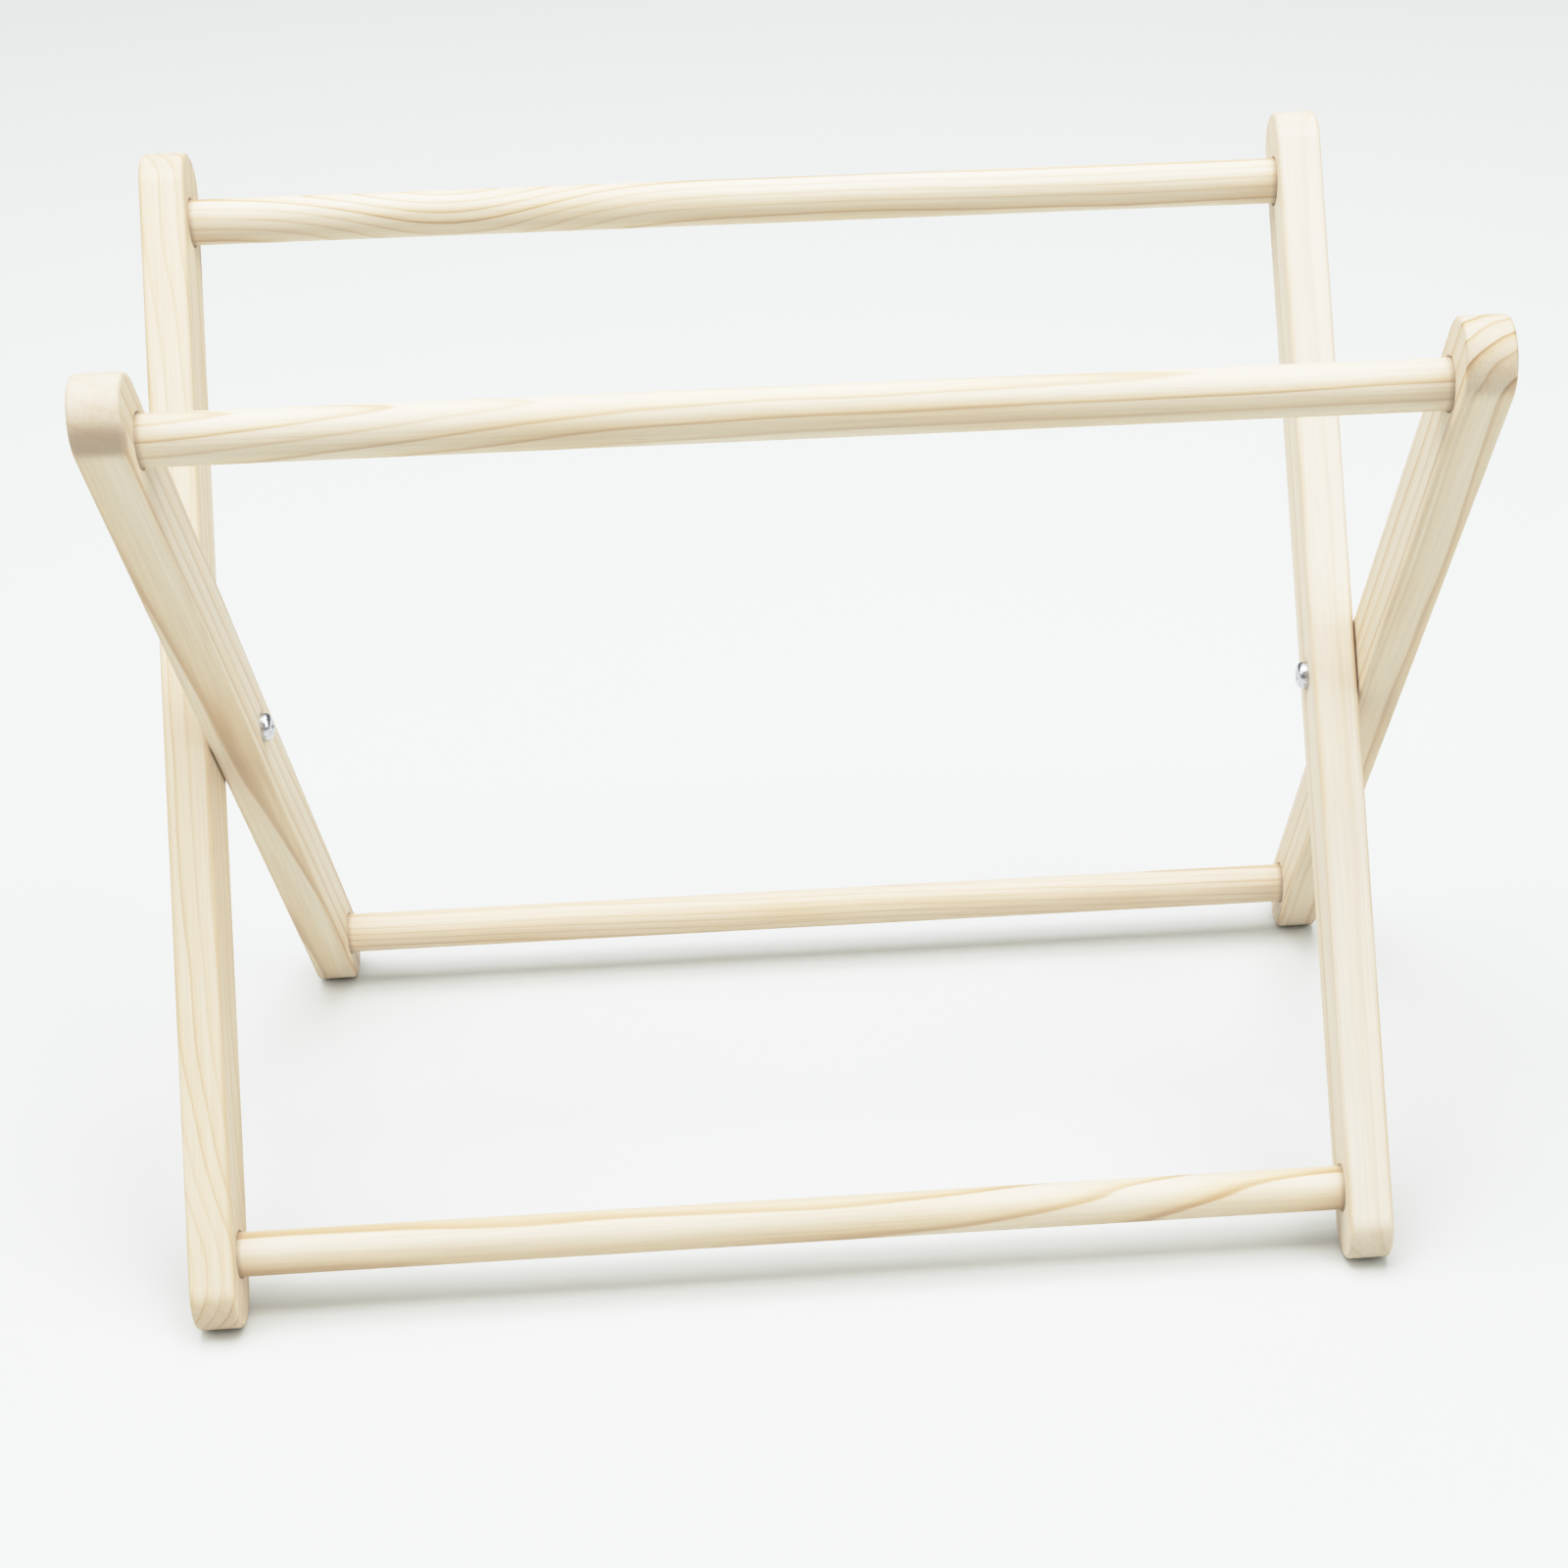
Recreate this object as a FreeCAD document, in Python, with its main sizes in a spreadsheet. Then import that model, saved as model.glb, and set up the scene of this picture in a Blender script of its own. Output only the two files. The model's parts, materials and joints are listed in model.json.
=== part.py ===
import FreeCAD, Part

import math
import os

import Sketcher
from FreeCAD import Placement, Rotation, Vector

# Folding table loom. Two identical wooden frames cross like scissors and turn on a screw at
# each side. Each frame is two flat legs joined by two round rails glued into blind sockets. The
# screw's head bears on the inner leg of its side, and its lock nut sits in a well in the outer leg.
#
# Row frame: +X runs along the rails, +Y points to the back, +Z is up. The origin is on the
# ground under the crossing. The front frame has its top rail at the front (-Y) and stands
# half a leg towards +X. The back frame is the same frame the other way round.
#
# Every leg, rail and screw is drawn about the pivot axis: local X is the axis, local Z runs
# up the leg, and the frame's placement tilts it.

DIMENSIONS = (
    ("span", 395.0, "clear length of a rail between its two legs"),
    ("leg_thick", 16.0, "leg strip, along the rails"),
    ("leg_deep", 28.0, "leg strip, across its length"),
    ("leg_gap", 0.4, "between the two legs that cross at a side"),
    ("edge_round", 1.6, "eased edges of the legs"),
    ("half_fold", 36.0, "tilt of each frame from upright, degrees"),
    ("top_rail_up", 185.0, "pivot to the top rail"),
    ("foot_rail_down", 188.0, "pivot to the foot rail"),
    ("top_over", 25.0, "leg end beyond the top rail"),
    ("foot_over", 26.0, "leg end beyond the foot rail"),
    ("rail_radius", 8.0, "round rails"),
    ("rail_bevel", 0.6, "broken edge on the rail ends"),
    ("socket_clear", 0.05, "glue gap round a rail"),
    ("socket_deep", 12.0, "blind socket in a leg"),
    ("socket_bevel", 0.8, "broken edge at the socket mouth"),
    ("rail_shy", 0.5, "rail end to socket floor"),
    ("well_radius", 6.5, "well for the lock nut, in the outer face of an outer leg"),
    ("well_deep", 9.0, "well for the lock nut"),
    ("well_bevel", 0.5, "broken edge at the well's mouth"),
    ("screw_radius", 2.5, "M5 pivot screw"),
    ("screw_long", 30.0, "screw, under the head"),
    ("screw_clear", 0.08, "screw to leg hole, running fit"),
    ("head_radius", 5.0, "pan head"),
    ("head_high", 3.6, "pan head"),
    ("head_dome", 2.4, "rounding at the rim of the head"),
    ("recess_span", 5.2, "cross recess, tip to tip"),
    ("recess_wide", 1.2, "cross recess, one slot"),
    ("recess_deep", 2.1, "cross recess"),
    ("recess_taper", 0.42, "floor of the recess as a share of its mouth"),
    ("thread_pitch", 0.8, "M5 coarse"),
    ("thread_deep", 0.4, "M5 coarse"),
    ("thread_turns", 7, "turns from the washer to the tip"),
    ("tip_bevel", 0.7, "screw tip"),
    ("stand_off", 0.3, "washer to the floor of the well that turns under it"),
    ("washer_radius", 5.0, "M5 flat washer"),
    ("washer_hole", 2.65, "M5 flat washer"),
    ("washer_thick", 1.0, "M5 flat washer"),
    ("washer_edge", 0.2, "softened rim of the washer"),
    ("nut_flats", 8.0, "across the flats"),
    ("nut_high", 5.0, "lock nut with its collar"),
    ("nut_hex_high", 3.5, "hexagonal part"),
    ("nut_bevel", 30.0, "corner chamfer, degrees"),
    ("nut_bore", 2.53, "over the screw's thread"),
    ("collar_radius", 3.55, "round collar of the lock nut"),
    ("collar_round", 0.6, "rolled edge of the collar"),
    ("lip_radius", 2.85, "collar opening over the insert"),
    ("seat_radius", 3.12, "seat of the nylon ring"),
    ("insert_radius", 3.1, "nylon ring"),
    ("insert_high", 1.1, "nylon ring"),
)

doc = FreeCAD.newDocument("loom")

sheet = doc.addObject("Spreadsheet::Sheet", "dims")
for row, (alias, value, note) in enumerate(DIMENSIONS, start=1):
    sheet.set("A%d" % row, alias)
    sheet.set("B%d" % row, str(value))
    sheet.set("C%d" % row, note)
    sheet.setAlias("B%d" % row, alias)
doc.recompute()

size = {alias: float(value) for alias, value, note in DIMENSIONS}

# Half the step between the two frames, sideways.
frame_step = (size["leg_thick"] + size["leg_gap"]) / 2

# The rounded foot's centre lies half the leg's depth inside the end, and the loom stands on it.
foot_centre_down = size["foot_rail_down"] + size["foot_over"] - size["leg_deep"] / 2
tilt = math.radians(size["half_fold"])
pivot_up = foot_centre_down * math.cos(tilt) + size["leg_deep"] / 2

# Bearing face of each screw head, on the inner face of the inner leg of its side.
head_face = size["span"] / 2 - frame_step


def new_body(label):
    body = doc.addObject("PartDesign::Body", label)
    body.Label = label
    return body


def sketch_on(body, role, name, offset=None):
    """A sketch on one of the body's own origin planes; offset is the expression of its distance."""
    plane = [f for f in body.Origin.OriginFeatures if f.Role == role][0]
    sketch = body.newObject("Sketcher::SketchObject", name)
    sketch.AttachmentSupport = [(plane, "")]
    sketch.MapMode = "FlatFace"
    if offset is not None:
        sketch.setExpression("AttachmentOffset.Base.z", offset)
    return sketch


def bind(sketch, constraint, expression):
    index = sketch.addConstraint(constraint)
    sketch.setExpression("Constraints[%d]" % index, expression)
    return index


def add_circle(sketch, radius, radius_text, up=0.0, up_text=None):
    """A circle centred on the sketch's upright axis, at the origin or at a bound height."""
    circle = sketch.addGeometry(Part.Circle(Vector(0, up, 0), Vector(0, 0, 1), radius))
    if up_text is None:
        sketch.addConstraint(Sketcher.Constraint("Coincident", circle, 3, -1, 1))
    else:
        sketch.addConstraint(Sketcher.Constraint("PointOnObject", circle, 3, -2))
        below = up < 0
        ends = (circle, 3, -1, 1) if below else (-1, 1, circle, 3)
        bind(sketch, Sketcher.Constraint("DistanceY", *ends, abs(up)), up_text)
    bind(sketch, Sketcher.Constraint("Radius", circle, radius), radius_text)
    return circle


def add_outline(sketch, corners):
    """Closed straight outline. Each corner is ((x, x_text), (y, y_text)), with bound coordinates."""
    points = [Vector(x[0], y[0], 0) for x, y in corners]
    lines = []
    for start, end in zip(points, points[1:] + points[:1]):
        lines.append(sketch.addGeometry(Part.LineSegment(start, end)))
    for line, following in zip(lines, lines[1:] + lines[:1]):
        sketch.addConstraint(Sketcher.Constraint("Coincident", line, 2, following, 1))
    for line, corner in zip(lines, corners):
        for kind, axis, (value, text) in zip(("DistanceX", "DistanceY"), (-2, -1), corner):
            if value == 0:
                sketch.addConstraint(Sketcher.Constraint("PointOnObject", line, 1, axis))
            elif value < 0:
                bind(sketch, Sketcher.Constraint(kind, line, 1, -1, 1, -value), text)
            else:
                bind(sketch, Sketcher.Constraint(kind, -1, 1, line, 1, value), text)
    return lines


def pad(body, sketch, name, length, **settings):
    feature = body.newObject("PartDesign::Pad", name)
    feature.Profile = sketch
    feature.setExpression("Length", length)
    for key, value in settings.items():
        setattr(feature, key, value)
    doc.recompute()
    return feature


def cut(body, kind, sketch, name, **settings):
    """A Pocket or a Groove that must take something away."""
    before = body.Shape.Volume
    feature = body.newObject(kind, name)
    feature.Profile = sketch
    for key, value in settings.items():
        if isinstance(value, str) and value.startswith("dims."):
            feature.setExpression(key, value)
        else:
            setattr(feature, key, value)
    doc.recompute()
    if body.Shape.Volume >= before:
        raise RuntimeError("%s of %s cut nothing" % (name, body.Label))
    return feature


def spin(body, kind, sketch, name):
    """A full turn about the sketch's own horizontal axis, which is the pivot axis."""
    feature = body.newObject(kind, name)
    feature.Profile = sketch
    feature.ReferenceAxis = (sketch, ["H_Axis"])
    feature.Angle = 360
    doc.recompute()
    return feature


def dress(body, kind, base, name, edges, amount):
    """A fillet or a chamfer of a bound size on the named edges of the base feature."""
    feature = body.newObject(kind, name)
    feature.Base = (base, edges)
    feature.setExpression("Radius" if kind.endswith("Fillet") else "Size", amount)
    doc.recompute()
    return feature


def edges_where(feature, test):
    return ["Edge%d" % n for n, e in enumerate(feature.Shape.Edges, start=1) if test(e)]


def is_circle(edge, radius, x=None):
    if not isinstance(edge.Curve, Part.Circle) or abs(edge.Curve.Radius - radius) > 1e-4:
        return False
    return x is None or abs(edge.Curve.Center.x - x) < 1e-4


def flat_at(edge, x):
    return all(abs(v.Point.x - x) < 1e-4 for v in edge.Vertexes)


def frame_placement(frame, x=0.0, turned=False):
    """Tilts a piece of the front or the back frame about the pivot axis. A turned piece is
    first spun half round its own length, so that one leg drawing serves both sides."""
    side = 1 if frame == "front" else -1
    rotation = Rotation(Vector(1, 0, 0), side * size["half_fold"])
    if turned:
        rotation = rotation.multiply(Rotation(Vector(0, 0, 1), 180))
    return Placement(Vector(side * frame_step + x, 0, pivot_up), rotation)


def make_leg(frame, side):
    """A flat leg with rounded ends, its inner face at local x = 0 and its body towards +x."""
    body = new_body("%s_frame_%s_leg" % (frame, side))
    radius = size["leg_deep"] / 2
    top = size["top_rail_up"] + size["top_over"] - radius
    foot = -foot_centre_down
    outline = sketch_on(body, "YZ_Plane", "Outline")
    z = Vector(0, 0, 1)
    front = outline.addGeometry(Part.LineSegment(Vector(radius, top, 0), Vector(radius, foot, 0)))
    under = outline.addGeometry(
        Part.ArcOfCircle(Part.Circle(Vector(0, foot, 0), z, radius), math.pi, 2 * math.pi)
    )
    rear = outline.addGeometry(Part.LineSegment(Vector(-radius, foot, 0), Vector(-radius, top, 0)))
    over = outline.addGeometry(
        Part.ArcOfCircle(Part.Circle(Vector(0, top, 0), z, radius), 0, math.pi)
    )
    for joint in ((front, 2, under, 2), (under, 1, rear, 1), (rear, 2, over, 2), (over, 1, front, 1)):
        outline.addConstraint(Sketcher.Constraint("Tangent", *joint))
    outline.addConstraint(Sketcher.Constraint("Vertical", front))
    for arc in (under, over):
        outline.addConstraint(Sketcher.Constraint("PointOnObject", arc, 3, -2))
    bind(outline, Sketcher.Constraint("Radius", over, radius), "dims.leg_deep / 2")
    bind(
        outline,
        Sketcher.Constraint("DistanceY", -1, 1, over, 3, top),
        "dims.top_rail_up + dims.top_over - dims.leg_deep / 2",
    )
    bind(
        outline,
        Sketcher.Constraint("DistanceY", under, 3, -1, 1, -foot),
        "dims.foot_rail_down + dims.foot_over - dims.leg_deep / 2",
    )
    strip = pad(body, outline, "Strip", "dims.leg_thick")

    rims = edges_where(strip, lambda e: flat_at(e, 0) or flat_at(e, size["leg_thick"]))
    dress(body, "PartDesign::Fillet", strip, "EasedEdges", rims, "dims.edge_round")

    socket_radius = size["rail_radius"] + size["socket_clear"]
    sockets = sketch_on(body, "YZ_Plane", "SocketCircles")
    for height, text in (
        (size["top_rail_up"], "dims.top_rail_up"),
        (-size["foot_rail_down"], "dims.foot_rail_down"),
    ):
        add_circle(sockets, socket_radius, "dims.rail_radius + dims.socket_clear", height, text)
    bored = cut(
        body, "PartDesign::Pocket", sockets, "Sockets", Length="dims.socket_deep", Reversed=True
    )
    mouths = edges_where(bored, lambda e: is_circle(e, socket_radius, 0))
    dress(body, "PartDesign::Chamfer", bored, "SocketMouths", mouths, "dims.socket_bevel")

    pivot = sketch_on(body, "YZ_Plane", "PivotCircle")
    add_circle(
        pivot, size["screw_radius"] + size["screw_clear"], "dims.screw_radius + dims.screw_clear"
    )
    cut(body, "PartDesign::Pocket", pivot, "PivotHole", Type="ThroughAll", Reversed=True)

    outer = (frame == "front") == (side == "right")
    if outer:
        circle = sketch_on(body, "YZ_Plane", "WellCircle", "dims.leg_thick")
        add_circle(circle, size["well_radius"], "dims.well_radius")
        well = cut(body, "PartDesign::Pocket", circle, "NutWell", Length="dims.well_deep")
        rim = edges_where(well, lambda e: is_circle(e, size["well_radius"], size["leg_thick"]))
        dress(body, "PartDesign::Chamfer", well, "WellMouth", rim, "dims.well_bevel")

    left = side == "left"
    reach = -size["span"] / 2 if left else size["span"] / 2
    body.Placement = frame_placement(frame, reach, turned=left)
    return body


def make_rail(frame, place):
    """A round rail, drawn symmetric about the middle of its frame."""
    body = new_body("%s_frame_%s_rail" % (frame, place))
    section = sketch_on(body, "YZ_Plane", "Section")
    if place == "top":
        height, text = size["top_rail_up"], "dims.top_rail_up"
    else:
        height, text = -size["foot_rail_down"], "dims.foot_rail_down"
    add_circle(section, size["rail_radius"], "dims.rail_radius", height, text)
    length = "dims.span + 2 * (dims.socket_deep - dims.rail_shy)"
    rod = pad(body, section, "Rod", length, Midplane=True)
    ends = edges_where(rod, lambda e: is_circle(e, size["rail_radius"]))
    dress(body, "PartDesign::Chamfer", rod, "EndBevels", ends, "dims.rail_bevel")
    body.Placement = frame_placement(frame)
    return body


def side_placement(side, out=0.0, clock=0.0):
    """Hardware of one side: local +x points outwards along the pivot axis, out from the bearing
    face of the screw head. clock turns a piece about the axis, in degrees."""
    left = side == "left"
    turn = Rotation(Vector(0, 0, 1), 180 if left else 0)
    turn = turn.multiply(Rotation(Vector(1, 0, 0), clock))
    x = -(head_face + out) if left else head_face + out
    return Placement(Vector(x, 0, pivot_up), turn)


def cross(sketch, share, share_text):
    """A plus-shaped outline, scaled by share."""
    reach = (share * size["recess_span"] / 2, "dims.recess_span / 2" + share_text)
    half = (share * size["recess_wide"] / 2, "dims.recess_wide / 2" + share_text)
    reach_back = (-reach[0], reach[1])
    half_back = (-half[0], half[1])
    add_outline(
        sketch,
        [
            (reach, half),
            (half, half),
            (half, reach),
            (half_back, reach),
            (half_back, half),
            (reach_back, half),
            (reach_back, half_back),
            (half_back, half_back),
            (half_back, reach_back),
            (half, reach_back),
            (half, half_back),
            (reach, half_back),
        ],
    )


def make_screw(side, clock):
    """Pan head screw. The head's bearing face is at local x = 0 and the shank points to +x."""
    body = new_body("%s_pivot_screw" % side)
    disc = sketch_on(body, "YZ_Plane", "HeadCircle")
    add_circle(disc, size["head_radius"], "dims.head_radius")
    head = pad(body, disc, "Head", "dims.head_high", Reversed=True)
    crown = edges_where(head, lambda e: is_circle(e, size["head_radius"], -size["head_high"]))
    dress(body, "PartDesign::Fillet", head, "HeadDome", crown, "dims.head_dome")

    mouth = sketch_on(body, "YZ_Plane", "RecessMouth", "-dims.head_high")
    cross(mouth, 1.0, "")
    floor = sketch_on(body, "YZ_Plane", "RecessFloor", "dims.recess_deep - dims.head_high")
    cross(floor, size["recess_taper"], " * dims.recess_taper")
    before = body.Shape.Volume
    recess = body.newObject("PartDesign::SubtractiveLoft", "Recess")
    recess.Profile = mouth
    recess.Sections = [floor]
    recess.Ruled = True
    doc.recompute()
    if body.Shape.Volume >= before:
        raise RuntimeError("the recess cut nothing")

    rod = sketch_on(body, "YZ_Plane", "ShankCircle")
    add_circle(rod, size["screw_radius"], "dims.screw_radius")
    shank = pad(body, rod, "Shank", "dims.screw_long")
    tip = edges_where(shank, lambda e: is_circle(e, size["screw_radius"], size["screw_long"]))
    dress(body, "PartDesign::Chamfer", shank, "TipBevel", tip, "dims.tip_bevel")

    groove = sketch_on(body, "XY_Plane", "ThreadGroove")
    end = size["screw_long"] - size["tip_bevel"]
    start = end - size["thread_pitch"] * 0.8
    middle = (start + end) / 2
    outside = size["screw_radius"] + 0.05
    add_outline(
        groove,
        [
            (
                (start, "dims.screw_long - dims.tip_bevel - dims.thread_pitch * 0.8"),
                (outside, "dims.screw_radius + 0.05"),
            ),
            (
                (middle, "dims.screw_long - dims.tip_bevel - dims.thread_pitch * 0.4"),
                (size["screw_radius"] - size["thread_deep"], "dims.screw_radius - dims.thread_deep"),
            ),
            (
                (end, "dims.screw_long - dims.tip_bevel"),
                (outside, "dims.screw_radius + 0.05"),
            ),
        ],
    )
    before = body.Shape.Volume
    turn = spin(body, "PartDesign::Groove", groove, "ThreadTurn")
    turns = body.newObject("PartDesign::LinearPattern", "ThreadTurns")
    turns.Originals = [turn]
    turns.Direction = (groove, ["H_Axis"])
    turns.Reversed = True
    turns.setExpression("Occurrences", "dims.thread_turns")
    turns.setExpression("Length", "dims.thread_pitch * (dims.thread_turns - 1)")
    body.Tip = turns
    doc.recompute()
    if body.Shape.Volume >= before:
        raise RuntimeError("the thread cut nothing")
    body.Placement = side_placement(side, clock=clock)
    return body


# Floor of the lock nut's well, from the bearing face of the screw head.
well_floor = 2 * size["leg_thick"] + size["leg_gap"] - size["well_deep"]


def make_washer(side):
    body = new_body("%s_washer" % side)
    ring = sketch_on(body, "YZ_Plane", "Ring")
    add_circle(ring, size["washer_radius"], "dims.washer_radius")
    add_circle(ring, size["washer_hole"], "dims.washer_hole")
    plate = pad(body, ring, "Plate", "dims.washer_thick")
    rim = edges_where(plate, lambda e: is_circle(e, size["washer_radius"]))
    dress(body, "PartDesign::Fillet", plate, "SoftRim", rim, "dims.washer_edge")
    body.Placement = side_placement(side, well_floor + size["stand_off"])
    return body


def make_nut(side, clock):
    """Lock nut with a round collar. Its bearing face is at local x = 0, the collar at +x."""
    body = new_body("%s_lock_nut" % side)
    hexagon = sketch_on(body, "YZ_Plane", "Hexagon")
    apothem = size["nut_flats"] / 2
    corner = apothem / math.cos(math.pi / 6)
    points = [
        Vector(corner * math.cos(k * math.pi / 3), corner * math.sin(k * math.pi / 3), 0)
        for k in range(6)
    ]
    sides = [
        hexagon.addGeometry(Part.LineSegment(a, b)) for a, b in zip(points, points[1:] + points[:1])
    ]
    guide = hexagon.addGeometry(Part.Circle(Vector(0, 0, 0), Vector(0, 0, 1), corner), True)
    hexagon.addConstraint(Sketcher.Constraint("Coincident", guide, 3, -1, 1))
    for line, following in zip(sides, sides[1:] + sides[:1]):
        hexagon.addConstraint(Sketcher.Constraint("Coincident", line, 2, following, 1))
    for line in sides[1:]:
        hexagon.addConstraint(Sketcher.Constraint("Equal", sides[0], line))
    for line in sides:
        hexagon.addConstraint(Sketcher.Constraint("PointOnObject", line, 1, guide))
    hexagon.addConstraint(Sketcher.Constraint("PointOnObject", sides[0], 1, -1))
    bind(
        hexagon,
        Sketcher.Constraint("Radius", guide, corner),
        "dims.nut_flats / 2 / cos(30)",
    )
    pad(body, hexagon, "HexBlock", "dims.nut_hex_high")

    # Corner chamfers: a cone takes the corners off at both ends of the hexagon.
    slope = math.tan(math.radians(size["nut_bevel"]))
    outside = corner + 1
    drop = (outside - apothem) * slope
    drop_text = "(dims.nut_flats / 2 / cos(30) + 1 - dims.nut_flats / 2) * tan(dims.nut_bevel)"
    outside_text = "dims.nut_flats / 2 / cos(30) + 1"
    for name, start, inward, start_text, sign in (
        ("LowCorners", 0.0, drop, "", ""),
        ("HighCorners", size["nut_hex_high"], -drop, "dims.nut_hex_high", " - "),
    ):
        chamfer = sketch_on(body, "XY_Plane", name + "Profile")
        add_outline(
            chamfer,
            [
                ((start, start_text), (apothem, "dims.nut_flats / 2")),
                ((start, start_text), (outside, outside_text)),
                ((start + inward, start_text + sign + drop_text), (outside, outside_text)),
            ],
        )
        before = body.Shape.Volume
        spin(body, "PartDesign::Groove", chamfer, name)
        if body.Shape.Volume >= before:
            raise RuntimeError("the nut's corners were not cut")

    disc = sketch_on(body, "YZ_Plane", "CollarCircle")
    add_circle(disc, size["collar_radius"], "dims.collar_radius")
    collar = pad(body, disc, "Collar", "dims.nut_high")
    rim = edges_where(collar, lambda e: is_circle(e, size["collar_radius"], size["nut_high"]))
    dress(body, "PartDesign::Fillet", collar, "RolledEdge", rim, "dims.collar_round")

    bore = sketch_on(body, "YZ_Plane", "BoreCircle")
    add_circle(bore, size["nut_bore"], "dims.nut_bore")
    cut(body, "PartDesign::Pocket", bore, "Bore", Type="ThroughAll", Reversed=True)

    seat = sketch_on(body, "YZ_Plane", "SeatCircle", "dims.nut_hex_high")
    add_circle(seat, size["seat_radius"], "dims.seat_radius")
    cut(body, "PartDesign::Pocket", seat, "Seat", Length="dims.insert_high", Reversed=True)
    lip = sketch_on(body, "YZ_Plane", "LipCircle", "dims.nut_hex_high")
    add_circle(lip, size["lip_radius"], "dims.lip_radius")
    cut(body, "PartDesign::Pocket", lip, "Lip", Type="ThroughAll", Reversed=True)

    body.Placement = side_placement(
        side, well_floor + size["stand_off"] + size["washer_thick"], clock
    )
    return body


def make_insert(side):
    """The nylon ring held under the collar of the lock nut."""
    body = new_body("%s_nut_insert" % side)
    ring = sketch_on(body, "YZ_Plane", "Ring")
    add_circle(ring, size["insert_radius"], "dims.insert_radius")
    add_circle(ring, size["nut_bore"], "dims.nut_bore")
    pad(body, ring, "Band", "dims.insert_high")
    out = well_floor + size["stand_off"] + size["washer_thick"] + size["nut_hex_high"]
    body.Placement = side_placement(side, out)
    return body


bodies = []
for frame in ("front", "back"):
    for side in ("left", "right"):
        bodies.append(make_leg(frame, side))
    for place in ("top", "foot"):
        bodies.append(make_rail(frame, place))

for side, screw_clock, nut_clock in (("left", 24.0, 11.0), ("right", 8.0, 40.0)):
    bodies.append(make_screw(side, screw_clock))
    bodies.append(make_washer(side))
    bodies.append(make_nut(side, nut_clock))
    bodies.append(make_insert(side))

doc.recompute()

for item in doc.Objects:
    if "Invalid" in item.State or "Error" in item.State:
        raise RuntimeError("%s did not compute: %s" % (item.Label, item.State))

os.makedirs("parts", exist_ok=True)
for body in bodies:
    shape = body.Shape
    if shape.isNull() or not shape.isValid() or len(shape.Solids) != 1:
        raise RuntimeError("%s is not one valid solid" % body.Label)
    shape.exportStep("parts/%s.step" % body.Label)
    box = shape.BoundBox
    print("%-28s %8.1f mm3  x %.2f..%.2f  y %.2f..%.2f  z %.2f..%.2f" % (
        body.Label, shape.Volume, box.XMin, box.XMax, box.YMin, box.YMax, box.ZMin, box.ZMax))
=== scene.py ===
import json
import math

import bpy
from mathutils import Matrix, Vector


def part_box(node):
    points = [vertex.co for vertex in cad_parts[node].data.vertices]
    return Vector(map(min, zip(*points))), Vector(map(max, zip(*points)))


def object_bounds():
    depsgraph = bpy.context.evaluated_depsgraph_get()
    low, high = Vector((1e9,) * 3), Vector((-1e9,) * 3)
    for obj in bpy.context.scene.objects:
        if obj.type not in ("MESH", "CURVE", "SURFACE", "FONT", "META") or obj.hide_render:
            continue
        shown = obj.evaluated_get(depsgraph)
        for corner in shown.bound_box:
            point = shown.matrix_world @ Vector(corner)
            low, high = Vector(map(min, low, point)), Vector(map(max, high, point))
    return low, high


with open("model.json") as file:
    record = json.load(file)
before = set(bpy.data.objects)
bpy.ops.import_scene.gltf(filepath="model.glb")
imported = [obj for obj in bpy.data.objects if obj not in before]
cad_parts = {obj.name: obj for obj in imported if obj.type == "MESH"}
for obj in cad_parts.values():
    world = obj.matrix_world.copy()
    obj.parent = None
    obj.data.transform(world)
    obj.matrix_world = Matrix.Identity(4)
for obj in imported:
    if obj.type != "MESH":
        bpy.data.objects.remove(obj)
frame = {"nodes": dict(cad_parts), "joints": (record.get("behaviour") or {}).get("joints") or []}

# Folding loom frame of bare pine on a pale floor in soft light. The shapes are the CAD's.
# This script gives them their wood, metal and nylon, and sets the floor, lights and camera.
# Lengths are metres. Inside the wood's nodes they are millimetres in the piece's own frame:
# x and y across it and z along the grain, with the origin level with the pivot.

MM = 0.001
cad_low, cad_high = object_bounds()
centre = (cad_low + cad_high) / 2
fold = frame["joints"][0]
pivot = Vector(fold["pos_m"])


# ---------------------------------------------------------------- node helpers


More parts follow.
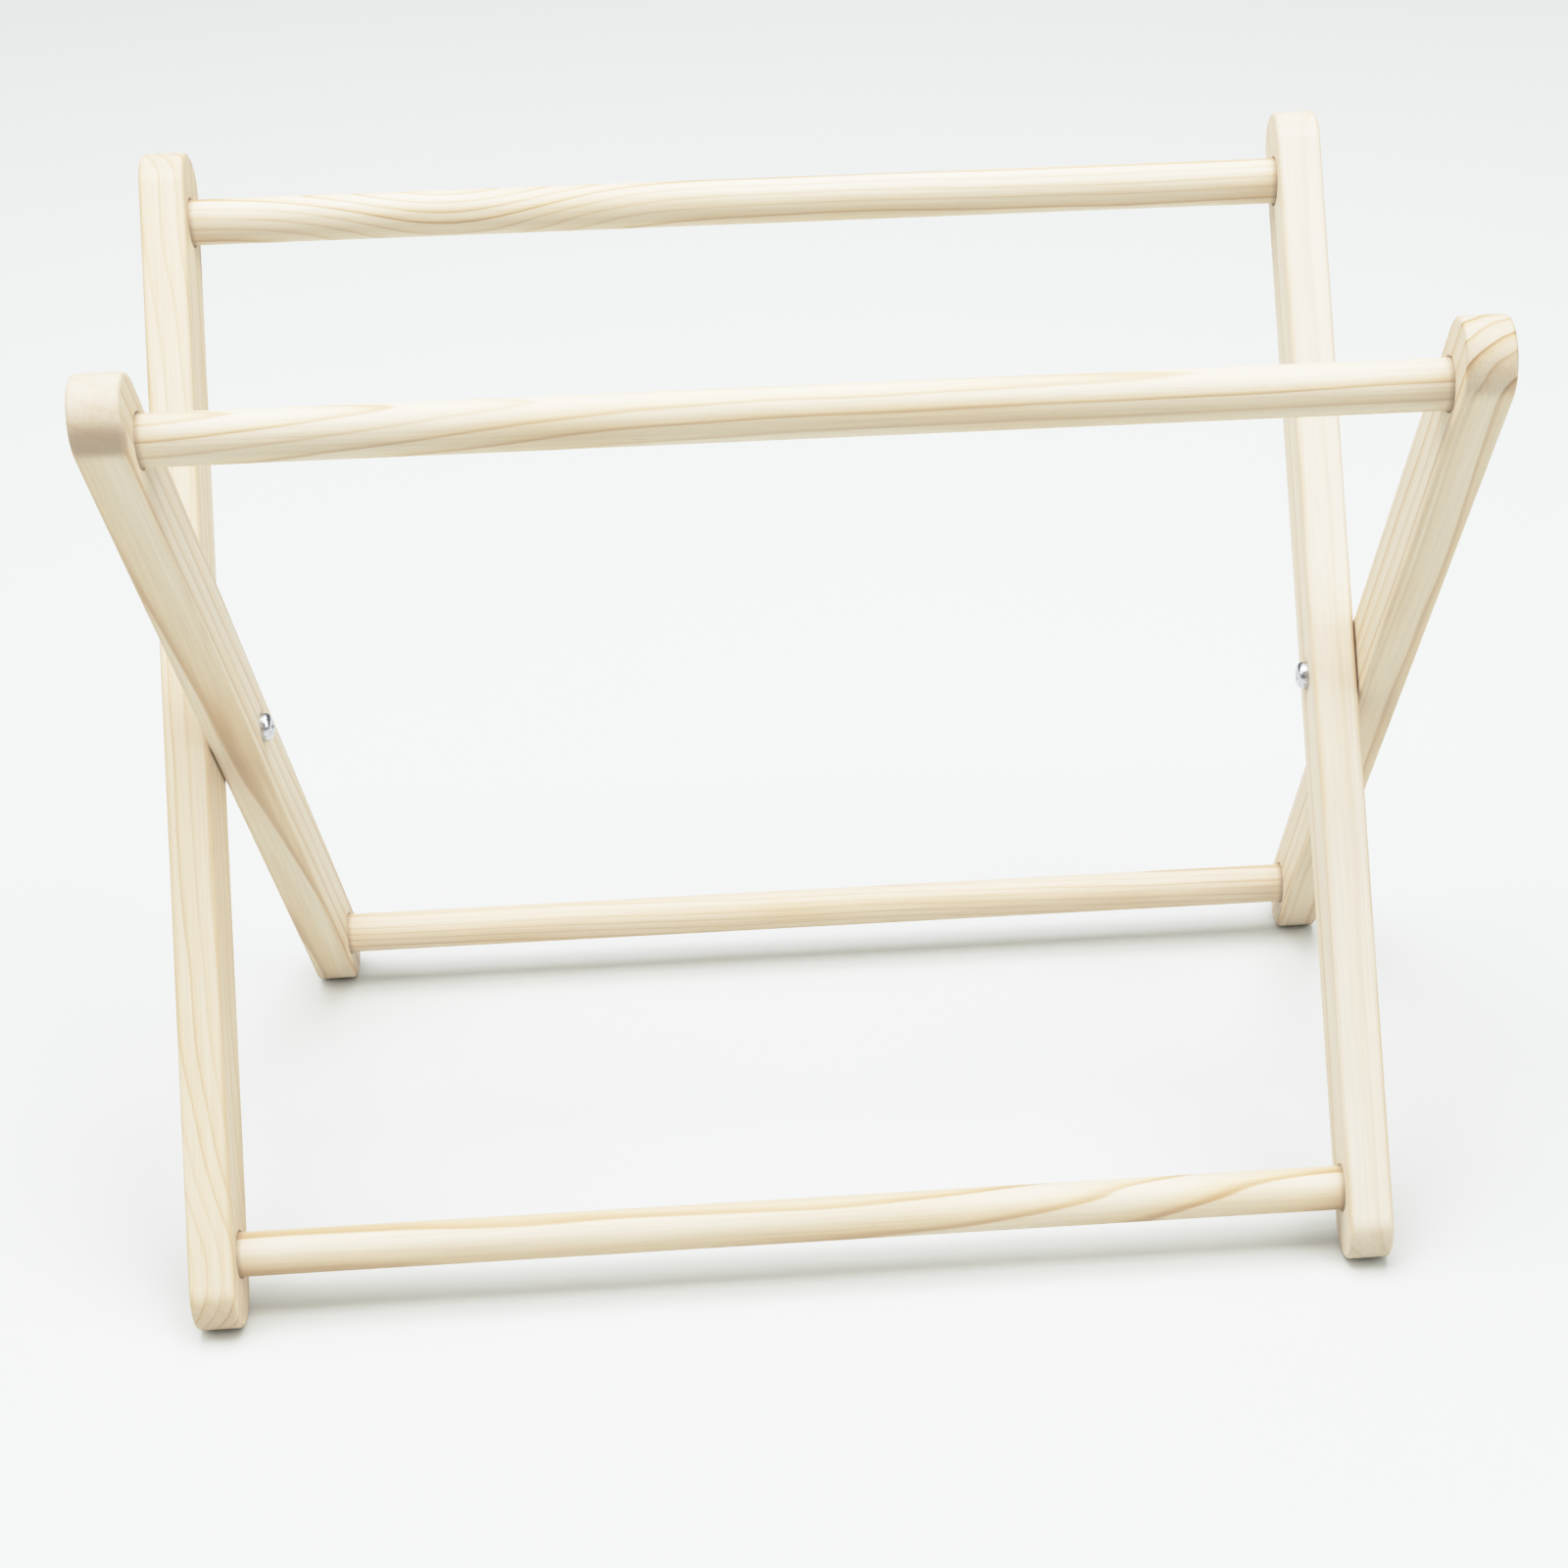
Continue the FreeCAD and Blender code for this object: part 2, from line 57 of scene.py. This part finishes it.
class Graph:
    """Adds nodes to a tree. A value may be a number, a tuple or another node's output."""

    def __init__(self, tree):
        self.tree = tree

    def node(self, kind, inputs=(), **settings):
        made = self.tree.nodes.new(kind)
        for name, value in settings.items():
            setattr(made, name, value)
        pairs = inputs.items() if isinstance(inputs, dict) else enumerate(inputs)
        for key, value in pairs:
            if value is not None:
                self.feed(made.inputs[key], value)
        return made

    def feed(self, socket, value):
        if isinstance(value, bpy.types.NodeSocket):
            self.tree.links.new(value, socket)
        else:
            socket.default_value = value

    def math(self, operation, a, b=None, c=None):
        return self.node("ShaderNodeMath", (a, b, c), operation=operation).outputs[0]

    def ramp(self, value, low, high, to_low=0.0, to_high=1.0):
        """Smooth step from low to high."""
        made = self.node(
            "ShaderNodeMapRange", (value, low, high, to_low, to_high), interpolation_type="SMOOTHSTEP"
        )
        return made.outputs[0]

    def mix(self, factor, a, b, blend="MIX"):
        made = self.node(
            "ShaderNodeMix", {0: factor, 6: a, 7: b}, data_type="RGBA", blend_type=blend
        )
        return made.outputs[2]

    def hypotenuse(self, a, b):
        squares = [self.math("MULTIPLY", side, side) for side in (a, b)]
        return self.math("SQRT", self.math("ADD", *squares))

    def vector(self, x, y, z):
        return self.node("ShaderNodeCombineXYZ", (x, y, z)).outputs[0]

    def split(self, vector):
        return self.node("ShaderNodeSeparateXYZ", (vector,)).outputs[:3]

    def vector_math(self, operation, a, b=None, output="Vector"):
        return self.node("ShaderNodeVectorMath", (a, b), operation=operation).outputs[output]

    def stretch(self, vector, factors):
        return self.vector_math("MULTIPLY", vector, factors)

    def noise(self, vector, scale=1.0, detail=2.0, roughness=0.5, output="Fac"):
        made = self.node(
            "ShaderNodeTexNoise",
            {"Vector": vector, "Scale": scale, "Detail": detail, "Roughness": roughness},
        )
        return made.outputs[output]


def new_material(name):
    material = bpy.data.materials.new(name)
    material.use_nodes = True
    material.node_tree.nodes.clear()
    graph = Graph(material.node_tree)
    shader = graph.node("ShaderNodeBsdfPrincipled")
    output = graph.node("ShaderNodeOutputMaterial")
    graph.feed(output.inputs["Surface"], shader.outputs[0])
    return material, graph, shader


def give_relief(graph, shader, height, strength, distance):
    inputs = {"Strength": strength, "Distance": distance, "Height": height}
    graph.feed(shader.inputs["Normal"], graph.node("ShaderNodeBump", inputs).outputs[0])


def give(node, material):
    """Puts a material on a CAD node, in every slot it has."""
    target = frame["nodes"][node]
    if not target.material_slots:
        target.data.materials.append(material)
    for slot in target.material_slots:
        slot.link = "OBJECT"
        slot.material = material


# ---------------------------------------------------------------- pine

EARLY_WOOD = (0.712, 0.622, 0.490, 1)
TAN_WOOD = (0.640, 0.475, 0.285, 1)
LATE_WOOD = (0.430, 0.280, 0.150, 1)
EDGE_TAN = (0.560, 0.400, 0.235, 1)
RESIN = (0.400, 0.250, 0.125, 1)
# A darker brown, put in patches where a piece lists them.
BROWN_PATCH = (0.420, 0.310, 0.215, 1)
BEARING_GREY = (0.30, 0.27, 0.23, 1)
# Painted shade on each rail where it goes into its sockets.
SOCKET_SHADOW = (0.37, 0.28, 0.19, 1)
END_GRAIN_TINT = (0.805, 0.782, 0.758, 1)

# Waves per millimetre of each pattern in the wood: two numbers across the grain, one along it.
WANDER_WAVES = (0.010, 0.010, 0.006)
RIPPLE_WAVES = (0.10, 0.10, 0.010)
FIBRE_WAVES = (1.3, 1.3, 0.022)
STREAK_WAVES = (0.22, 0.22, 0.004)
PATCH_WAVES = (0.045, 0.045, 0.010)
CANAL_WAVES = (2.4, 2.4, 0.09)
EDGE_WAVES = (0.2, 0.2, 0.02)

# A year runs from 0 to 1: where its wood starts to turn tan and dark, is fully so, and fades.
TAN_STARTS, TAN_FULL = 0.25, 0.90
DARK_STARTS, DARK_FULL = 0.70, 0.92
YEAR_FADES = 0.92
RIPPLE = 0.5  # how many years' width a ring strays from a true circle
FAINTEST_YEAR = 0.3

# Where each pattern's noise starts to show and shows fully, and how strongly it then shows.
PATCH_SHOWS = (0.45, 0.75)
STREAK_SHOWS, STREAK_STRENGTH = (0.48, 0.78), 0.28
CANAL_SHOWS, CANAL_STRENGTH = (0.72, 0.78), 0.40
DARKEST_FIBRE, FIBRE_RANGE = 0.83, 0.34

# How steeply a face cuts the fibres, as a sine, where it starts to be end grain and is fully so.
END_GRAIN_SHOWS, END_GRAIN_STRENGTH = (0.06, 0.40), 0.75
END_FIGURE = 0.15  # how much stronger the years show there, unless a piece says otherwise

WOOD_ROUGHNESS, DARK_ROUGHNESS, FIBRE_ROUGHNESS = 0.50, -0.10, 0.12
DARK_RELIEF, CANAL_RELIEF = 0.25, 0.35  # beside the fibres' own relief of 1
RELIEF_STRENGTH, RELIEF_HEIGHT = 0.45, 0.06 * MM


def growth_rings(graph, place, grain):
    """The year's tan wood and its dark late line, each 0 to 1, from the distance to the pith.

    The pith is a line beside the piece, which leans and wanders slowly. Each bend pushes the
    rings aside for a stretch, as a knot does.
    """
    x, y, z = graph.split(place)
    slow = graph.vector_math("ADD", graph.stretch(place, WANDER_WAVES), (grain["seed"], 0, 0))
    drift = graph.split(graph.noise(slow, output="Color"))
    axes = []
    for n, across in enumerate((x, y)):
        away = graph.math("SUBTRACT", across, grain["pith"][n])
        away = graph.math("MULTIPLY_ADD", z, -grain["lean"][n], away)
        swing = graph.math("SUBTRACT", drift[n], 0.5)
        axes.append(graph.math("MULTIPLY_ADD", swing, 2 * grain["wander"], away))
    distance = graph.hypotenuse(*axes)
    for middle, reach, push in grain.get("bends", ()):
        step = graph.math("DIVIDE", graph.math("SUBTRACT", z, middle), reach)
        square = graph.math("MULTIPLY", step, step)
        bell = graph.math("EXPONENT", graph.math("MULTIPLY", square, -1))
        distance = graph.math("MULTIPLY_ADD", bell, push, distance)
    ripple = graph.noise(graph.stretch(place, RIPPLE_WAVES), detail=1)
    rings = graph.math("DIVIDE", distance, grain["ring"])
    years = graph.math("MULTIPLY_ADD", ripple, RIPPLE, rings)
    phase = graph.math("FRACT", years)
    year = graph.math("ADD", graph.math("FLOOR", years), grain["seed"])
    vigour = graph.node("ShaderNodeTexWhiteNoise", {"W": year}, noise_dimensions="1D").outputs[0]
    vigour = graph.math("MULTIPLY_ADD", vigour, 1 - FAINTEST_YEAR, FAINTEST_YEAR)
    ending = graph.math("MULTIPLY", graph.ramp(phase, YEAR_FADES, 1, 1, 0), vigour)
    tan = graph.math("MULTIPLY", graph.ramp(phase, TAN_STARTS, TAN_FULL), ending)
    dark = graph.math("MULTIPLY", graph.ramp(phase, DARK_STARTS, DARK_FULL), ending)
    return tan, dark


def in_the_piece(graph, axes, middle):
    """A point's place in the piece's own frame, and how far its face is end grain, 0 to 1.

    axes turns the piece's own frame to the world's, and middle is that frame's origin.
    """
    coordinates = graph.node("ShaderNodeTexCoord")
    inputs = {
        "Vector": coordinates.outputs["Object"],
        "Location": middle,
        "Rotation": axes.to_euler(),
        "Scale": (MM, MM, MM),
    }
    place = graph.node("ShaderNodeMapping", inputs, vector_type="TEXTURE").outputs[0]
    along = axes @ Vector((0, 0, 1))
    slope = graph.vector_math("DOT_PRODUCT", coordinates.outputs["Normal"], along, "Value")
    return place, graph.ramp(graph.math("ABSOLUTE", slope), *END_GRAIN_SHOWS)


def with_brown_patches(graph, place, brown_patches, colour):
    """Darker brown patches, each (middle, reach, strength), darkest in the middle."""
    core = 0.35
    for middle, reach, strength in brown_patches:
        away = graph.vector_math("SUBTRACT", place, middle)
        share = graph.stretch(away, [1 / part for part in reach])
        far = graph.vector_math("LENGTH", share, output="Value")
        colour = graph.mix(graph.ramp(far, core, 1, strength, 0), colour, BROWN_PATCH)
    return colour


def pine(name, axes, middle, grain, marks):
    """Solid pine: one block of rings, fibres and resin that every face of the piece cuts through.

    marks adds the piece's own marks to the colour, and on a rail the painted shade where it goes into
    its sockets: it takes the graph, the place and the colour.
    """
    material, graph, shader = new_material(name)
    place, end = in_the_piece(graph, axes, middle)
    tan, dark = growth_rings(graph, place, grain)

    apart = (grain["seed"] * 7, grain["seed"] * 3, 0)
    here = graph.vector_math("ADD", place, apart)
    fibre = graph.noise(graph.stretch(here, FIBRE_WAVES), detail=4, roughness=0.62)
    streak = graph.noise(graph.stretch(here, STREAK_WAVES))
    patch = graph.noise(graph.stretch(here, PATCH_WAVES), detail=1.5)
    canal = graph.noise(graph.stretch(here, CANAL_WAVES), detail=1)

    # Pale wood, with tan patches and streaks, then the years, the fibres and the resin canals.
    end_figure = grain.get("end_figure", END_FIGURE)
    figure = graph.math("MULTIPLY_ADD", end, end_figure, grain["figure"])
    patchy = graph.ramp(patch, *PATCH_SHOWS, 0, grain["patch"])
    streaky = graph.ramp(streak, *STREAK_SHOWS, 0, STREAK_STRENGTH)
    colour = graph.mix(patchy, EARLY_WOOD, TAN_WOOD)
    colour = graph.mix(streaky, colour, TAN_WOOD)
    colour = graph.mix(graph.math("MULTIPLY", tan, figure), colour, TAN_WOOD)
    colour = graph.mix(graph.math("MULTIPLY", dark, figure), colour, LATE_WOOD)
    shade = graph.math("MULTIPLY_ADD", fibre, FIBRE_RANGE, DARKEST_FIBRE)
    tone = [graph.math("MULTIPLY", shade, channel) for channel in grain["tone"]]
    colour = graph.mix(1.0, colour, graph.vector(*tone), "MULTIPLY")
    colour = graph.mix(graph.ramp(canal, *CANAL_SHOWS, 0, CANAL_STRENGTH), colour, RESIN)

    # The rounded ends cut across the fibres, and sanded end grain is a shade greyer.
    tinted = graph.math("MULTIPLY", end, END_GRAIN_STRENGTH)
    colour = graph.mix(tinted, colour, END_GRAIN_TINT, "MULTIPLY")
    colour = with_brown_patches(graph, place, grain.get("brown_patches", ()), colour)
    # The legs' own marks, and on the rails the painted shade at their sockets.
    graph.feed(shader.inputs["Base Color"], marks(graph, place, colour))

    # Late wood is harder, so it is sanded smoother and stands a little proud.
    rough = graph.math("MULTIPLY_ADD", dark, DARK_ROUGHNESS, WOOD_ROUGHNESS)
    rough = graph.math("MULTIPLY_ADD", fibre, FIBRE_ROUGHNESS, rough)
    graph.feed(shader.inputs["Roughness"], rough)
    shader.inputs["Specular IOR Level"].default_value = 0.45
    relief = graph.math("MULTIPLY_ADD", dark, DARK_RELIEF, fibre)
    relief = graph.math("MULTIPLY_ADD", canal, CANAL_RELIEF, relief)
    give_relief(graph, shader, relief, RELIEF_STRENGTH, RELIEF_HEIGHT)
    return material


def leg_marks(half_thick, half_deep):
    """Tan along the eased edges, and a grey ring where the screw or washer bears."""
    edge_starts, edge_full = 2.4, 0.3  # millimetres in from the leg's faces
    ring_in, ring_out = (4.4, 5.1), (5.2, 7.0)  # radii over which the ring comes and goes
    ring_strength = 0.28

    def marks(graph, place, colour):
        x, y, z = graph.split(place)
        near = [
            graph.ramp(graph.math("ABSOLUTE", across), half - edge_starts, half - edge_full)
            for across, half in ((x, half_thick), (y, half_deep))
        ]
        uneven = graph.noise(graph.stretch(place, EDGE_WAVES))
        strength = graph.ramp(uneven, 0.3, 0.7, 0.15, 0.70)
        edge = graph.math("MULTIPLY", graph.math("MULTIPLY", *near), strength)
        colour = graph.mix(edge, colour, EDGE_TAN)
        radius = graph.hypotenuse(y, z)
        comes, goes = graph.ramp(radius, *ring_in), graph.ramp(radius, *ring_out, 1, 0)
        ring = graph.math("MULTIPLY", graph.math("MULTIPLY", comes, goes), ring_strength)
        return graph.mix(ring, colour, BEARING_GREY)

    return marks


def rail_socket_shade(half_span):
    """Painted shade: a thin dark rim painted on the rail where it goes into its sockets."""
    shadow_full, shadow_ends = 0.2, 2.2  # millimetres in from the leg
    shadow_strength = 0.5

    def marks(graph, place, colour):
        z = graph.split(place)[2]
        inward = graph.math("SUBTRACT", half_span, graph.math("ABSOLUTE", z))
        rim = graph.ramp(inward, shadow_full, shadow_ends, shadow_strength, 0)
        return graph.mix(rim, colour, SOCKET_SHADOW)

    return marks


# How each piece was cut from its log. pith, lean and wander place the middle of the log beside
# the piece, ring is the width of a year, a bend is (place along the piece, reach, push), figure
# and patch say how strongly the years and the tan patches show, end_figure is added to figure on
# end grain, a brown patch is (place, reach, strength), and tone tints the piece.
LEG_GRAIN = {
    "front_frame_left_leg": dict(
        pith=(30, 62), lean=(-0.045, -0.008), ring=7.0, wander=1.2, seed=4.1,
        figure=0.62, patch=0.30, tone=(1.00, 0.98, 0.96), end_figure=-0.45,
        # A darker brown patch on the front of the rounded top.
        brown_patches=(((0, -12, 203), (22, 8, 7), 0.75),),
    ),
    "front_frame_right_leg": dict(
        pith=(36, -62), lean=(0.004, 0.006), ring=5.4, wander=2.0, seed=8.7,
        figure=0.56, patch=0.30, tone=(1.00, 0.98, 0.96), end_figure=0.35,
    ),
    "back_frame_left_leg": dict(
        pith=(40, 22), lean=(-0.050, 0.006), ring=4.2, wander=8.0, seed=14.2,
        figure=0.45, patch=0.45, tone=(0.99, 0.95, 0.90), bends=((-195, 28, 7),),
    ),
    "back_frame_right_leg": dict(
        pith=(-36, 20), lean=(0.006, 0.004), ring=9.0, wander=2.0, seed=21.9,
        figure=0.36, patch=0.15, tone=(1.03, 1.03, 1.04),
    ),
}
RAIL_GRAIN = {
    "front_frame_top_rail": dict(
        pith=(-15, -3), lean=(-0.010, 0.0), ring=5.0, wander=3.0, seed=5.3,
        figure=0.55, patch=0.40, tone=(0.99, 0.98, 0.96), bends=((-210, 120, -14),),
    ),
    "front_frame_foot_rail": dict(
        pith=(-26, 8), lean=(0.012, -0.010), ring=2.6, wander=3.0, seed=11.4,
        figure=0.50, patch=0.60, tone=(1.02, 0.97, 0.93),
    ),
    "back_frame_top_rail": dict(
        pith=(-20, 4), lean=(0.0, 0.006), ring=3.4, wander=2.5, seed=17.6,
        figure=0.76, patch=0.40, tone=(1.00, 0.99, 0.97), bends=((-104, 48, -12),),
    ),
    "back_frame_foot_rail": dict(
        pith=(-18, 15), lean=(0.0, 0.0), ring=12.0, wander=1.6, seed=29.5,
        figure=0.74, patch=0.30, tone=(1.02, 1.00, 0.98), bends=((205, 100, 24),),
    ),
}


def size_in_mm(node):
    low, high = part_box(node)
    return (Vector(high) - Vector(low)) / MM


def leg_tilt(frame_name):
    """How far a frame leans, from the place of its top rail above the pivot."""
    low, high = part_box(frame_name + "_top_rail")
    to_top = (Vector(low) + Vector(high)) / 2 - pivot
    return math.atan2(-to_top.y, to_top.z)


def give_leg(frame_name, side):
    """A leg is a strip with round ends, so its tilted box gives its depth back."""
    node = "%s_%s_leg" % (frame_name, side)
    box = size_in_mm(node)
    tilt = leg_tilt(frame_name)
    between_ends = (box.z - box.y) / (math.cos(tilt) - abs(math.sin(tilt)))
    deep = box.z - between_ends * math.cos(tilt)
    low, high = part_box(node)
    middle = Vector(((low[0] + high[0]) / 2, pivot.y, pivot.z))
    axes = Matrix.Rotation(tilt, 3, "X")
    marks = leg_marks(box.x / 2, deep / 2)
    give(node, pine("pine_" + node, axes, middle, LEG_GRAIN[node], marks))


def give_rail(frame_name, place):
    node = "%s_%s_rail" % (frame_name, place)
    low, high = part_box(node)
    middle = (Vector(low) + Vector(high)) / 2
    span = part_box(frame_name + "_right_leg")[0][0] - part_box(frame_name + "_left_leg")[1][0]
    axes = Matrix.Rotation(math.radians(90), 3, "Y")
    # Painted shade on the rail where it goes into its sockets.
    marks = rail_socket_shade(span / 2 / MM)
    give(node, pine("pine_" + node, axes, middle, RAIL_GRAIN[node], marks))


for frame_name in ("front_frame", "back_frame"):
    for side in ("left", "right"):
        give_leg(frame_name, side)
    for place in ("top", "foot"):
        give_rail(frame_name, place)


# ---------------------------------------------------------------- metal and nylon

ZINC_DULL = (0.52, 0.55, 0.59, 1)
ZINC_BRIGHT = (0.68, 0.69, 0.71, 1)
ZINC_WORN = (0.36, 0.37, 0.38, 1)
NYLON_CLEAR = (0.74, 0.77, 0.79, 1)
NYLON_MILKY = (0.86, 0.87, 0.87, 1)

# Waves per metre, along x, y and z of the world.
HAZE_WAVES = (900, 900, 900)
HANDLING_WAVES = (5200, 2600, 2600)
FLOW_WAVES = (1200, 500, 500)


def zinc():
    """Bright zinc plate: faintly blue, with a fine uneven haze and small handling marks."""
    material, graph, shader = new_material("bright_zinc")
    place = graph.node("ShaderNodeTexCoord").outputs["Object"]
    haze = graph.noise(graph.stretch(place, HAZE_WAVES), detail=3)
    marks = graph.noise(graph.stretch(place, HANDLING_WAVES), roughness=0.7)
    colour = graph.mix(graph.ramp(haze, 0.3, 0.7), ZINC_DULL, ZINC_BRIGHT)
    colour = graph.mix(graph.ramp(marks, 0.62, 0.72, 0, 0.5), colour, ZINC_WORN)
    graph.feed(shader.inputs["Base Color"], colour)
    shader.inputs["Metallic"].default_value = 1.0
    graph.feed(shader.inputs["Roughness"], graph.ramp(haze, 0.25, 0.75, 0.20, 0.38))
    give_relief(graph, shader, marks, 0.25, 0.02 * MM)
    return material


def nylon():
    """Natural nylon: milky and slightly translucent, with faint flow streaks."""
    material, graph, shader = new_material("natural_nylon")
    place = graph.node("ShaderNodeTexCoord").outputs["Object"]
    flow = graph.noise(graph.stretch(place, FLOW_WAVES))
    colour = graph.mix(graph.ramp(flow, 0.3, 0.7), NYLON_CLEAR, NYLON_MILKY)
    graph.feed(shader.inputs["Base Color"], colour)
    graph.feed(shader.inputs["Roughness"], graph.ramp(flow, 0.3, 0.7, 0.35, 0.5))
    shader.inputs["Subsurface Weight"].default_value = 0.2
    shader.inputs["Subsurface Scale"].default_value = 1 * MM
    return material


zinc_plate = zinc()
nylon_ring = nylon()
for side in ("left", "right"):
    for piece in ("pivot_screw", "washer", "lock_nut"):
        give("%s_%s" % (side, piece), zinc_plate)
    give("%s_nut_insert" % side, nylon_ring)


# ---------------------------------------------------------------- floor, light, camera

FLOOR_REACH = 14.0  # metres from the middle to each edge
FLOOR_SHADE = (0.660, 0.684, 0.656, 1)
FLOOR_PALE = (0.680, 0.702, 0.672, 1)

DAYLIGHT = (0.97, 1.0, 1.07)
SOFTBOX_SIDE = 1.6
# Name, place from the middle of the loom, watts.
SOFTBOXES = (
    ("overhead", (0, 0, 2.0), 49),
    ("behind", (0, 1.6, 1.75), 6.7),
)
# Name, the direction that it comes from, how wide it is in degrees, strength.
WIDE_SUNS = (
    ("from_above", (0, 0, 1), 70, 0.80),
    ("from_front", (0, -1, 1.2), 60, 0.20),
    ("from_left", (-1, 0, 0.9), 60, 1.75),
    ("from_right_front", (1, -0.65, 1), 50, 1.50),
)
# Colour and strength of what the room adds to the loom's light, and of what the camera sees.
ROOM_FILL = ((0.97, 0.985, 1.0, 1), 0.09)
ROOM_WALLS = ((0.98, 1.0, 0.99, 1), 0.82)


def pale_floor():
    mesh = bpy.data.meshes.new("floor")
    signs = ((-1, -1), (1, -1), (1, 1), (-1, 1))
    corners = [(x * FLOOR_REACH, y * FLOOR_REACH, 0) for x, y in signs]
    mesh.from_pydata(corners, [], [(0, 1, 2, 3)])
    floor = bpy.data.objects.new("floor", mesh)
    floor.location.z = cad_low.z
    bpy.context.scene.collection.objects.link(floor)
    material, graph, shader = new_material("pale_floor")
    place = graph.node("ShaderNodeTexCoord").outputs["Object"]
    cloud = graph.noise(place, scale=1.6)
    graph.feed(shader.inputs["Base Color"], graph.mix(cloud, FLOOR_SHADE, FLOOR_PALE))
    shader.inputs["Roughness"].default_value = 0.65
    mesh.materials.append(material)


def add_lamp(name, data, source):
    """Links a lamp that shines from the side that source points to."""
    lamp = bpy.data.objects.new(name, data)
    lamp.rotation_euler = (-Vector(source)).to_track_quat("-Z", "Y").to_euler()
    bpy.context.scene.collection.objects.link(lamp)
    return lamp


def studio():
    """Two daylight softboxes that face the loom, and even light from four sides."""
    for name, source, watts in SOFTBOXES:
        data = bpy.data.lights.new(name, "AREA")
        data.size = SOFTBOX_SIDE
        data.energy = watts
        data.color = DAYLIGHT
        add_lamp(name, data, source).location = centre + Vector(source)
    for name, source, width, strength in WIDE_SUNS:
        data = bpy.data.lights.new(name, "SUN")
        data.angle = math.radians(width)
        data.energy = strength
        add_lamp(name, data, source)


def pale_room():
    """A pale room: the camera sees its light walls, and they give the loom a little fill."""
    world = bpy.data.worlds.new("pale_room")
    bpy.context.scene.world = world
    world.use_nodes = True
    world.node_tree.nodes.clear()
    graph = Graph(world.node_tree)
    fill, walls = (
        graph.node("ShaderNodeBackground", {"Color": colour, "Strength": strength}).outputs[0]
        for colour, strength in (ROOM_FILL, ROOM_WALLS)
    )
    seen = graph.node("ShaderNodeLightPath").outputs["Is Camera Ray"]
    room = graph.node("ShaderNodeMixShader", (seen, fill, walls)).outputs[0]
    graph.node("ShaderNodeOutputWorld", {"Surface": room})


def film(scene_light):
    """Response of the picture to light: straight up to a shoulder, then rolling off to white."""
    shoulder = 0.55
    if scene_light <= shoulder:
        return scene_light
    headroom = 1 - shoulder
    return shoulder + headroom * (1 - math.exp(-(scene_light - shoulder) / headroom))


def set_film():
    brightest = 2.4  # the scene light at the curve's end
    steps = 16
    view = bpy.context.scene.view_settings
    view.view_transform = "Standard"
    view.use_curve_mapping = True
    mapping = view.curve_mapping
    mapping.white_level = (brightest, brightest, brightest)
    curve = mapping.curves[3]  # the one for all three channels
    curve.points[-1].location = (1, film(brightest))
    for n in range(1, steps):
        curve.points.new(n / steps, film(brightest * n / steps))
    mapping.update()


def photo_camera():
    """The photograph's view: from in front, looking down, with the lens shifted off its axis."""
    turn, down, roll = (math.radians(angle) for angle in (-4.22, 32.93, -0.97))
    from_pivot = Vector((-0.0048, -0.9259, 0.4553))
    data = bpy.data.cameras.new("camera")
    data.sensor_width = 36.0  # millimetres, as is the lens
    data.lens = 64.7
    data.shift_x, data.shift_y = -0.119, 0.156
    data.clip_start, data.clip_end = 0.05, 50

    right = Vector((math.cos(turn), math.sin(turn), 0))
    level = Vector((-math.sin(turn), math.cos(turn), 0))
    ahead = math.cos(down) * level - math.sin(down) * Vector((0, 0, 1))
    up = right.cross(ahead)
    side = math.cos(roll) * right + math.sin(roll) * up
    top = math.cos(roll) * up - math.sin(roll) * right
    place = Matrix((side, top, -ahead)).transposed().to_4x4()
    place.translation = pivot + from_pivot
    camera = bpy.data.objects.new("camera", data)
    camera.matrix_world = place
    bpy.context.scene.collection.objects.link(camera)
    bpy.context.scene.camera = camera


pale_floor()
pale_room()
studio()
set_film()
photo_camera()
